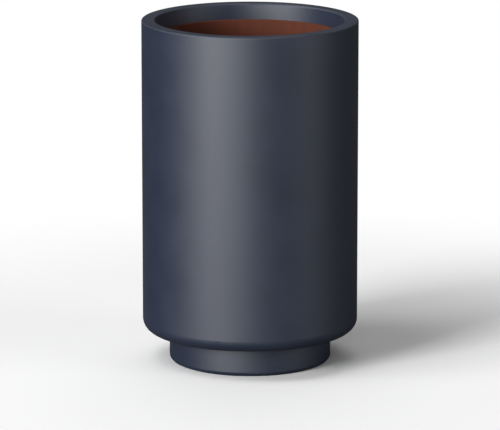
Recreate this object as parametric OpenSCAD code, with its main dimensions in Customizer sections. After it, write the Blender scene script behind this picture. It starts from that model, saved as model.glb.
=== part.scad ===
// Tall round floor planter: a cast concrete shell on a stepped-in foot, with a plastic liner that
// lifts out and a rubber plug in the drain hole. Millimetres, +Z up. The origin is on the floor,
// at the centre of the foot.

/* [Planter body] */
// Outside diameter, the same from the shoulder up to the rim
body_d = 381; // [320:1:460]
// Height from the floor to the top of the rim
body_h = 610; // [420:5:760]
// Thickness of the cast wall at the rim
wall_t = 24; // [18:1:30]
// Rounding of the two edges of the rim
rim_edge_r = 2.5; // [1:0.5:6]
// Radius where the side turns in under the body
shoulder_r = 21.5; // [8:0.5:36]

/* [Foot] */
// How far the foot stands in from the side of the body
foot_inset = 47.5; // [38:0.5:60]
// Height of the foot
foot_h = 53.5; // [44:0.5:80]
// Rounding of the foot's bottom edge
foot_edge_r = 8; // [2:0.5:12]
// Width of the ring on the underside that the planter stands on
foot_ring_w = 40; // [24:1:50]
// Depth of the shallow hollow inside that ring
foot_hollow_h = 3; // [1:0.5:4]

/* [Cavity] */
// How much the cavity's radius narrows from the rim down to the ledge, so that its core draws out
cavity_draft = 6; // [2:0.5:10]
// Thickness of the ledge that carries the liner
ledge_t = 24; // [18:1:32]
// Rounding of the corner between the cavity's wall and the ledge
cavity_corner_r = 12; // [4:1:16]
// Thickness of the foot's wall around the sump
sump_wall_t = 24; // [18:1:32]
// Thickness of the sump's floor
sump_floor_t = 28; // [20:1:32]
// Rounding of the corner between the sump's wall and its floor
sump_corner_r = 10; // [3:1:14]

/* [Liner] */
// How far the liner's rim lies below the planter's
liner_drop = 28; // [16:1:60]
// Gap between the liner and the cavity, at the rim and at the ledge
liner_gap = 1.5; // [1:0.25:4]
// Thickness of the liner's wall
liner_t = 2.5; // [2:0.25:4]
// How far the liner's rim stands out from its wall
liner_rim_w = 2; // [2:0.25:5]
// Height of the liner's rim
liner_rim_h = 10; // [6:1:16]
// Rounding of the edges of the liner's rim
liner_edge_r = 1.25; // [0.5:0.25:1.75]
// Width of each of the two finger slots near the rim
grip_w = 80; // [60:1:100]
// Height of a finger slot
grip_h = 22; // [18:1:28]
// Depth of a finger slot's centre below the liner's rim
grip_drop = 40; // [32:1:60]

/* [Liner floor] */
// Thickness of the liner's floor
liner_floor_t = 4; // [3:0.5:6]
// Height of the floor above the ledge, which leaves a ring for the liner to stand on
liner_floor_lift = 9; // [6:0.5:14]
// Rounding inside the liner, where the wall meets the floor
liner_corner_r = 10; // [4:1:16]
// Diameter of a drain hole in the floor
seep_d = 10; // [6:0.5:14]
// Holes in the inner circle
seep_inner_count = 8; // [4:1:10]
// Holes in the outer circle
seep_outer_count = 16; // [8:1:20]
// Ribs under the floor, from the hub out to the ring
rib_count = 8; // [4:1:12]
// Thickness of a rib
rib_t = 2.5; // [1.5:0.25:4]
// Gap between the ribs and the ledge, where water runs through
rib_gap = 2; // [1:0.5:4]
// Diameter of the hub where the ribs meet
rib_hub_d = 30; // [20:1:40]

/* [Drain plug] */
// Diameter of the drain hole through the sump's floor
drain_d = 25; // [16:0.5:32]
// Radial clearance of the plug's stem in that hole
plug_fit = 0.05; // [0.02:0.01:0.1]
// How far the plug's flange covers the floor around the hole
plug_flange_w = 8; // [5:0.5:12]
// Thickness of the flange
plug_flange_t = 4; // [3:0.5:6]
// Diameter of the neck under the knob
plug_neck_d = 12; // [8:0.5:14]
// Height of the neck
plug_neck_h = 8; // [6:0.5:10]
// Diameter of the knob
plug_knob_d = 22; // [18:0.5:26]
// Thickness of the knob
plug_knob_t = 6; // [4:0.5:8]
// Rounding of the plug's edges
plug_edge_r = 1.5; // [0.5:0.25:1.75]

/* [Hidden] */
$fn = 128;
// How far a cut runs past the surface that it opens
overrun = 5;

body_r = body_d / 2;
foot_r = body_r - foot_inset;
cavity_r = body_r - wall_t;
ledge_r = cavity_r - cavity_draft;
ledge_z = foot_h + ledge_t;
sump_r = foot_r - sump_wall_t;
drain_r = drain_d / 2;

// The liner stands on the flat part of the ledge, inside the cavity's rounded corner.
liner_foot_r = ledge_r - cavity_corner_r - liner_gap;
liner_wall_r = cavity_r - liner_gap - liner_rim_w;
liner_top_z = body_h - liner_drop;
liner_under_z = ledge_z + liner_floor_lift;
liner_floor_z = liner_under_z + liner_floor_t;
liner_bend_z = liner_floor_z + liner_corner_r;

// Radii of the circles of drain holes, as shares of the sump's radius
seep_inner_share = 0.42;
seep_outer_share = 0.76;

// Outside radius of the liner's wall at a height: it tapers so that the liner leaves its mould
function liner_r(z) =
    liner_foot_r + (liner_wall_r - liner_foot_r) * (z - ledge_z) / (liner_top_z - ledge_z);

// What an edge of radius r loses: a square corner, less the arc about the origin
module edge_waste(r) {
    difference() {
        square(r + overrun);
        circle(r);
    }
}

// Half outline of a round block about the Z axis, its outer edges rounded below and above
module block_outline(r, z0, z1, low_r = 0, top_r = 0) {
    difference() {
        translate([0, z0]) square([r, z1 - z0]);
        if (low_r > 0) translate([r - low_r, z0 + low_r]) mirror([0, 1]) edge_waste(low_r);
        if (top_r > 0) translate([r - top_r, z1 - top_r]) edge_waste(top_r);
    }
}

// The inner edge of a rim, rounded where a wall of inside radius r ends at height z
module inner_rim_waste(r, z, edge_r) {
    translate([r + edge_r, z - edge_r]) mirror([1, 0]) edge_waste(edge_r);
}

// Copies in a circle, the first half a step round
module in_circle(count, r) {
    for (i = [0 : count - 1]) rotate((i + 0.5) * 360 / count) translate([r, 0]) children();
}

// Half outline of the space inside the shell: the drafted cavity, and the sump under the ledge
module cavity_outline() {
    corner_z = ledge_z + cavity_corner_r;
    polygon([
        [0, corner_z],
        [ledge_r, corner_z],
        [cavity_r, body_h - rim_edge_r],
        [cavity_r, body_h + overrun],
        [0, body_h + overrun]
    ]);
    block_outline(ledge_r, ledge_z, corner_z, low_r = cavity_corner_r);
    block_outline(sump_r, sump_floor_t, corner_z, low_r = sump_corner_r);
    inner_rim_waste(cavity_r, body_h, rim_edge_r);
}

// One casting: the straight body, its rounded shoulder, and the foot with the sump inside it
module planter_shell() {
    color([0.21, 0.23, 0.29])
    rotate_extrude()
    difference() {
        union() {
            block_outline(body_r, foot_h, body_h, low_r = shoulder_r, top_r = rim_edge_r);
            block_outline(foot_r, 0, ledge_z, low_r = foot_edge_r);
        }
        cavity_outline();
        translate([0, -overrun]) square([foot_r - foot_ring_w, foot_hollow_h + overrun]);
        square([drain_r, sump_floor_t + overrun]);
    }
}

// Half outline of the liner: a tapered pot on a ring, with a lip around its rim
module liner_outline() {
    bend_r = liner_r(liner_bend_z) - liner_t;
    inside_r = liner_wall_r - liner_t;
    difference() {
        union() {
            polygon([
                [0, ledge_z],
                [liner_foot_r, ledge_z],
                [liner_wall_r, liner_top_z],
                [0, liner_top_z]
            ]);
            block_outline(
                liner_wall_r + liner_rim_w, liner_top_z - liner_rim_h, liner_top_z,
                low_r = liner_edge_r, top_r = liner_edge_r
            );
        }
        polygon([
            [0, liner_bend_z],
            [bend_r, liner_bend_z],
            [inside_r, liner_top_z],
            [inside_r, liner_top_z + overrun],
            [0, liner_top_z + overrun]
        ]);
        block_outline(bend_r, liner_floor_z, liner_bend_z, low_r = liner_corner_r);
        inner_rim_waste(inside_r, liner_top_z, liner_edge_r);
        translate([0, ledge_z - overrun])
            square([liner_foot_r - liner_t, liner_floor_lift + overrun]);
    }
}

// Ribs and their hub under the liner's floor, short of the ledge so that water passes
module liner_ribs() {
    rib_z = ledge_z + rib_gap;
    rib_h = liner_under_z + liner_floor_t / 2 - rib_z;
    translate([0, 0, rib_z]) {
        cylinder(h = rib_h, d = rib_hub_d);
        for (i = [0 : rib_count - 1])
            rotate(i * 360 / rib_count)
            translate([0, -rib_t / 2, 0])
            cube([liner_foot_r - liner_t / 2, rib_t, rib_h]);
    }
}

// Drain holes through the liner's floor, in two circles over the sump
module seep_holes() {
    translate([0, 0, liner_under_z - overrun]) {
        in_circle(seep_inner_count, sump_r * seep_inner_share)
            cylinder(h = liner_floor_t + 2 * overrun, d = seep_d);
        in_circle(seep_outer_count, sump_r * seep_outer_share)
            cylinder(h = liner_floor_t + 2 * overrun, d = seep_d);
    }
}

// One round-ended bar across the liner, which opens the finger slot on either side
module grip_slots() {
    round_y = (grip_w - grip_h) / 2;
    translate([0, 0, liner_top_z - grip_drop]) {
        cube([body_d, 2 * round_y, grip_h], center = true);
        for (side = [-1, 1])
            translate([0, side * round_y, 0])
            rotate([0, 90, 0])
            cylinder(h = body_d, d = grip_h, center = true);
    }
}

// Moulded plastic pot that stands on the ledge and lifts out by its finger slots
module liner() {
    color([0.4, 0.25, 0.19])
    difference() {
        union() {
            rotate_extrude() liner_outline();
            liner_ribs();
        }
        seep_holes();
        grip_slots();
    }
}

// Rubber plug: a stem in the drain hole, a flange that seals on the sump's floor, and a knob
module drain_plug() {
    flange_z = sump_floor_t;
    neck_z = flange_z + plug_flange_t;
    knob_z = neck_z + plug_neck_h;
    color([0.12, 0.12, 0.13])
    rotate_extrude() {
        block_outline(drain_r - plug_fit, foot_hollow_h, neck_z - plug_edge_r, low_r = plug_edge_r);
        block_outline(drain_r + plug_flange_w, flange_z, neck_z, top_r = plug_edge_r);
        translate([0, flange_z]) square([plug_neck_d / 2, knob_z + plug_edge_r - flange_z]);
        block_outline(
            plug_knob_d / 2, knob_z, knob_z + plug_knob_t,
            low_r = plug_edge_r, top_r = plug_edge_r
        );
    }
}

planter_shell();
liner();
drain_plug();
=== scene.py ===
import math

import bpy
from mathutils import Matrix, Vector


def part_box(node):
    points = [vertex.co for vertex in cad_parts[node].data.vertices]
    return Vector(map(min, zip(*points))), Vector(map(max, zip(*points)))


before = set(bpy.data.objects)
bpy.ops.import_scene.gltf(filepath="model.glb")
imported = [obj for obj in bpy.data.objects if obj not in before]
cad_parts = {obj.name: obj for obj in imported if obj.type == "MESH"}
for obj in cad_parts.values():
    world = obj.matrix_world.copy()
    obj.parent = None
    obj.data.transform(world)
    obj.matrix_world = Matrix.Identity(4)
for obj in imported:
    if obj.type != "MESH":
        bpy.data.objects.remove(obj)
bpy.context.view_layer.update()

bpy.ops.object.select_all(action="DESELECT")


# Planter shell: one casting in fine fibre concrete, from a two-part mould with a drafted core.
# It is trowel-filled, rubbed smooth and sprayed with a satin slate-blue mineral coating, so the
# form reads from one soft upright highlight, and the surface from faint clouds and fine grit.
coating_colour = "#101D33"
coating_cloud_colour = "#142138"
cloud_size = 0.07
cloud_low = 0.3
cloud_high = 0.7
grit_size = 0.0035
grit_depth = 0.00008
coating_roughness = 0.5
coating_roughness_spread = 0.05
coating_ior = 1.55
coating_specular = 1.0
rim_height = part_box("planter_shell")[1][2]
edge_dulling = 0.22
edge_start = 0.003
edge_full = 0.0015
edge_fade = 0.0006
edge_end = 0.0001


def linear(hex_colour):
    """The linear RGBA that a shader takes, from an sRGB hex colour."""
    channels = [int(hex_colour[i:i + 2], 16) / 255 for i in (1, 3, 5)]
    return [c / 12.92 if c <= 0.04045 else ((c + 0.055) / 1.055) ** 2.4 for c in channels] + [1.0]


def add_node(owner, kind, inputs, **settings):
    """Adds a node to a material or the world. Each input is a value, or the socket that feeds it."""
    made = owner.node_tree.nodes.new("ShaderNode" + kind)
    for name, value in settings.items():
        setattr(made, name, value)
    for name, value in inputs.items():
        if isinstance(value, bpy.types.NodeSocket):
            owner.node_tree.links.new(value, made.inputs[name])
        else:
            made.inputs[name].default_value = value
    return made


def new_material(name):
    """An empty node material and its output node."""
    material = bpy.data.materials.new(name)
    material.use_nodes = True
    material.node_tree.nodes.clear()
    return material, add_node(material, "OutputMaterial", {})


# Satin mineral coating, sprayed and cured on sealed concrete: a dark slate blue whose gloss is
# broad and soft. The concrete under it takes the spray unevenly, which leaves clouds some 70 mm
# across, and the filler's sand shows through as grit. The grit is drawn several times coarser
# than the real 0.5 mm, so that it shows at all. The film is dense in pigment, so its IOR is high.
coating, coating_out = new_material("satin_slate_coating_on_concrete")
place = add_node(coating, "TexCoord", {}).outputs["Object"]
clouds = add_node(
    coating, "TexNoise",
    {"Vector": place, "Scale": 1 / cloud_size, "Detail": 5.0, "Roughness": 0.55},
)
grit = add_node(
    coating, "TexNoise",
    {"Vector": place, "Scale": 1 / grit_size, "Detail": 3.0, "Roughness": 0.65},
)
cloudy = add_node(
    coating, "MapRange",
    {"Value": clouds.outputs["Fac"], "From Min": cloud_low, "From Max": cloud_high},
).outputs["Result"]
tint = add_node(
    coating, "Mix",
    {"Factor": cloudy, "A": linear(coating_colour), "B": linear(coating_cloud_colour)},
    data_type="RGBA",
)
sheen = add_node(
    coating, "MapRange",
    {
        "Value": cloudy,
        "To Min": coating_roughness - coating_roughness_spread / 2,
        "To Max": coating_roughness + coating_roughness_spread / 2,
    },
)
# On the rounded edges of the rim, from 3 mm below its top to 0.1 mm below it, the wet film draws
# back and dries thinner and duller. That keeps a sharp line of light off them, and leaves the flat
# top of the rim as satin as the side.
height = add_node(coating, "SeparateXYZ", {"Vector": place}).outputs["Z"]
onto_edge = add_node(
    coating, "MapRange",
    {"Value": height, "From Min": rim_height - edge_start, "From Max": rim_height - edge_full},
).outputs["Result"]
dulling = add_node(
    coating, "MapRange",
    {
        "Value": height,
        "From Min": rim_height - edge_fade,
        "From Max": rim_height - edge_end,
        "To Min": edge_dulling,
        "To Max": 0.0,
    },
).outputs["Result"]
satin = add_node(
    coating, "Math", {0: onto_edge, 1: dulling, 2: sheen.outputs["Result"]},
    operation="MULTIPLY_ADD",
).outputs["Value"]
skin = add_node(coating, "Bump", {"Height": grit.outputs["Fac"], "Distance": grit_depth})
paint = add_node(
    coating, "BsdfPrincipled",
    {
        "Base Color": tint.outputs["Result"],
        "Roughness": satin,
        "IOR": coating_ior,
        "Specular IOR Level": coating_specular,
        "Normal": skin.outputs["Normal"],
    },
)
coating.node_tree.links.new(paint.outputs["BSDF"], coating_out.inputs["Surface"])
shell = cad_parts["planter_shell"]
shell.data.materials.clear()
shell.data.materials.append(coating)


# Liner: a brown polypropylene pot, injection moulded in one shot. It stands on the ledge inside
# the shell, held by nothing but its weight, and lifts out by the two finger slots.
liner_colour = "#62372A"
liner_flow_colour = "#5B3326"
liner_roughness = 0.82
liner_roughness_spread = 0.08
liner_specular = 0.1
flow_width = 0.02
flow_length = 0.25
flow_low = 0.35
flow_high = 0.65
spark_size = 0.0015
spark_depth = 0.00005

# Moulded polypropylene from a spark-eroded tool: a fine even pebble leaves it almost no gloss, and
# is drawn several times coarser than the real 0.2 mm, so that it shows at all. The brown pigment
# follows the melt up the wall, so faint darker streaks stand upright.
plastic, plastic_out = new_material("moulded_brown_polypropylene")
pot_place = add_node(plastic, "TexCoord", {}).outputs["Object"]
stretch = add_node(
    plastic, "Mapping",
    {"Vector": pot_place, "Scale": (1 / flow_width, 1 / flow_width, 1 / flow_length)},
)
flow = add_node(
    plastic, "TexNoise", {"Vector": stretch.outputs["Vector"], "Scale": 1.0, "Detail": 3.0}
)
pebble = add_node(plastic, "TexNoise", {"Vector": pot_place, "Scale": 1 / spark_size, "Detail": 2.0})
streaks = add_node(
    plastic, "MapRange",
    {"Value": flow.outputs["Fac"], "From Min": flow_low, "From Max": flow_high},
).outputs["Result"]
brown = add_node(
    plastic, "Mix",
    {"Factor": streaks, "A": linear(liner_colour), "B": linear(liner_flow_colour)},
    data_type="RGBA",
)
matte = add_node(
    plastic, "MapRange",
    {
        "Value": pebble.outputs["Fac"],
        "To Min": liner_roughness - liner_roughness_spread / 2,
        "To Max": liner_roughness + liner_roughness_spread / 2,
    },
)
spark = add_node(plastic, "Bump", {"Height": pebble.outputs["Fac"], "Distance": spark_depth})
pot_skin = add_node(
    plastic, "BsdfPrincipled",
    {
        "Base Color": brown.outputs["Result"],
        "Roughness": matte.outputs["Result"],
        "Specular IOR Level": liner_specular,
        "Normal": spark.outputs["Normal"],
    },
)
plastic.node_tree.links.new(pot_skin.outputs["BSDF"], plastic_out.inputs["Surface"])
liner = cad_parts["liner"]
liner.data.materials.clear()
liner.data.materials.append(plastic)


# Drain plug: black rubber, compression moulded, with a flange, a neck and a knob to pull. Its
# stem is pushed by hand into the hole at the bottom of the sump.
rubber_colour = "#1F1F21"
rubber_bloom_colour = "#3A3A3B"
rubber_roughness = 0.6
rubber_roughness_spread = 0.2
bloom_size = 0.012
bloom_low = 0.4
bloom_high = 0.65
rubber_grain = 0.0012
rubber_grain_depth = 0.00004

# Moulded black rubber: a soft dull black with the fine grain of its mould, drawn coarser than it
# is so that it shows. Wax that comes to the surface greys it in patches a finger wide, and these
# are also the duller ones.
rubber, rubber_out = new_material("moulded_black_rubber")
plug_place = add_node(rubber, "TexCoord", {}).outputs["Object"]
bloom = add_node(
    rubber, "TexNoise", {"Vector": plug_place, "Scale": 1 / bloom_size, "Detail": 4.0}
)
grain = add_node(
    rubber, "TexNoise", {"Vector": plug_place, "Scale": 1 / rubber_grain, "Detail": 2.0}
)
patches = add_node(
    rubber, "MapRange",
    {"Value": bloom.outputs["Fac"], "From Min": bloom_low, "From Max": bloom_high},
).outputs["Result"]
black = add_node(
    rubber, "Mix",
    {"Factor": patches, "A": linear(rubber_colour), "B": linear(rubber_bloom_colour)},
    data_type="RGBA",
)
dull = add_node(
    rubber, "MapRange",
    {
        "Value": patches,
        "To Min": rubber_roughness - rubber_roughness_spread / 2,
        "To Max": rubber_roughness + rubber_roughness_spread / 2,
    },
)
rubber_bump = add_node(
    rubber, "Bump", {"Height": grain.outputs["Fac"], "Distance": rubber_grain_depth}
)
plug_skin = add_node(
    rubber, "BsdfPrincipled",
    {
        "Base Color": black.outputs["Result"],
        "Roughness": dull.outputs["Result"],
        "Normal": rubber_bump.outputs["Normal"],
    },
)
rubber.node_tree.links.new(plug_skin.outputs["BSDF"], rubber_out.inputs["Surface"])
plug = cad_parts["drain_plug"]
plug.data.materials.clear()
plug.data.materials.append(rubber)


# Studio floor: a plain pale sheet that takes the planter's shadow. From half a metre out it turns
# into the plain white of the background. The camera sees it a little over white, because lamps that
# suit the dark planter leave white grey; the planter gets only a weak bounce from it.
floor_size = 16
floor_bounce = 0.12
floor_seen = 1.1
sweep_start = 0.5
sweep_end = 1.3

bpy.ops.mesh.primitive_plane_add(size=floor_size)
floor = bpy.context.object
floor.name = "studio_floor"
sweep, sweep_out = new_material("pale_studio_floor")
to_camera = add_node(sweep, "LightPath", {}).outputs["Is Camera Ray"]
spot = add_node(sweep, "TexCoord", {}).outputs["Object"]
distance = add_node(sweep, "VectorMath", {0: spot}, operation="LENGTH").outputs["Value"]
far = add_node(
    sweep, "MapRange", {"Value": distance, "From Min": sweep_start, "From Max": sweep_end},
    interpolation_type="SMOOTHSTEP",
).outputs["Result"]
bounce = add_node(sweep, "BsdfDiffuse", {"Color": [floor_bounce] * 3 + [1.0]}).outputs["BSDF"]
seen = add_node(sweep, "BsdfDiffuse", {"Color": [floor_seen] * 3 + [1.0]}).outputs["BSDF"]
white = add_node(sweep, "Emission", {"Strength": 1.0}).outputs["Emission"]
backed = add_node(sweep, "MixShader", {"Fac": far, 1: seen, 2: white}).outputs["Shader"]
surface = add_node(sweep, "MixShader", {"Fac": to_camera, 1: bounce, 2: backed}).outputs["Shader"]
sweep.node_tree.links.new(surface, sweep_out.inputs["Surface"])
floor.data.materials.append(sweep)


# Camera: a long lens seven metres back and 1.8 m up, tipped down at the planter. Its place, tilt
# and lens come from the ellipses of the rim, the shoulder and the foot in the photograph.
camera_back = 6.971
camera_height = 1.803
camera_tip = 12.49
camera_lens = 290.5
camera_reach = 50

bpy.ops.object.camera_add(
    location=(0, -camera_back, camera_height),
    rotation=(math.radians(90 - camera_tip), 0, 0),
)
camera = bpy.context.object
camera.data.lens = camera_lens
camera.data.clip_end = camera_reach
bpy.context.scene.camera = camera


# Light: softboxes, far enough off to light the rim and the foot alike. The mid and low keys give
# the upright highlight on the left, the low front its soft right flank, and the high key lights the
# inside and throws the shadow. The fill and the overhead keep the far side from going black.
light_distance = 20.0
light_aim = 0.3
softboxes = [
    # name, degrees left of the camera, degrees up, width, height, watts
    ("high_key", 63, 59, 9, 12.5, 1500),
    ("low_key", 39, 3, 6.5, 7.5, 1300),
    ("low_front", 14, 7, 6, 4, 950),
    ("mid_key", 45, 19, 7, 7, 3100),
    ("right_fill", -64, 15, 9.5, 9, 850),
    ("overhead", 183, 65, 14, 17, 800),
]
for name, left, up, width, height, watts in softboxes:
    reach = light_distance * math.cos(math.radians(up))
    bpy.ops.object.light_add(
        type="AREA",
        location=(
            -reach * math.sin(math.radians(left)),
            -reach * math.cos(math.radians(left)),
            light_aim + light_distance * math.sin(math.radians(up)),
        ),
        rotation=(math.radians(90 - up), 0, -math.radians(left)),
    )
    softbox = bpy.context.object
    softbox.name = name
    softbox.data.shape = "RECTANGLE"
    softbox.data.size = width
    softbox.data.size_y = height
    softbox.data.energy = watts

# The world is white where the camera sees it and lights the planter only faintly: nothing here is
# of metal or glass, and a white one would haze the dark coating.
studio_ambient = 0.02

world = bpy.data.worlds.new("studio")
world.use_nodes = True
bpy.context.scene.world = world
seen_by_camera = add_node(world, "LightPath", {}).outputs["Is Camera Ray"]
brightness = add_node(
    world, "MapRange", {"Value": seen_by_camera, "To Min": studio_ambient, "To Max": 1.0}
).outputs["Result"]
background = world.node_tree.nodes["Background"]
background.inputs["Color"].default_value = (1, 1, 1, 1)
world.node_tree.links.new(brightness, background.inputs["Strength"])

bpy.context.scene.view_settings.view_transform = "Standard"
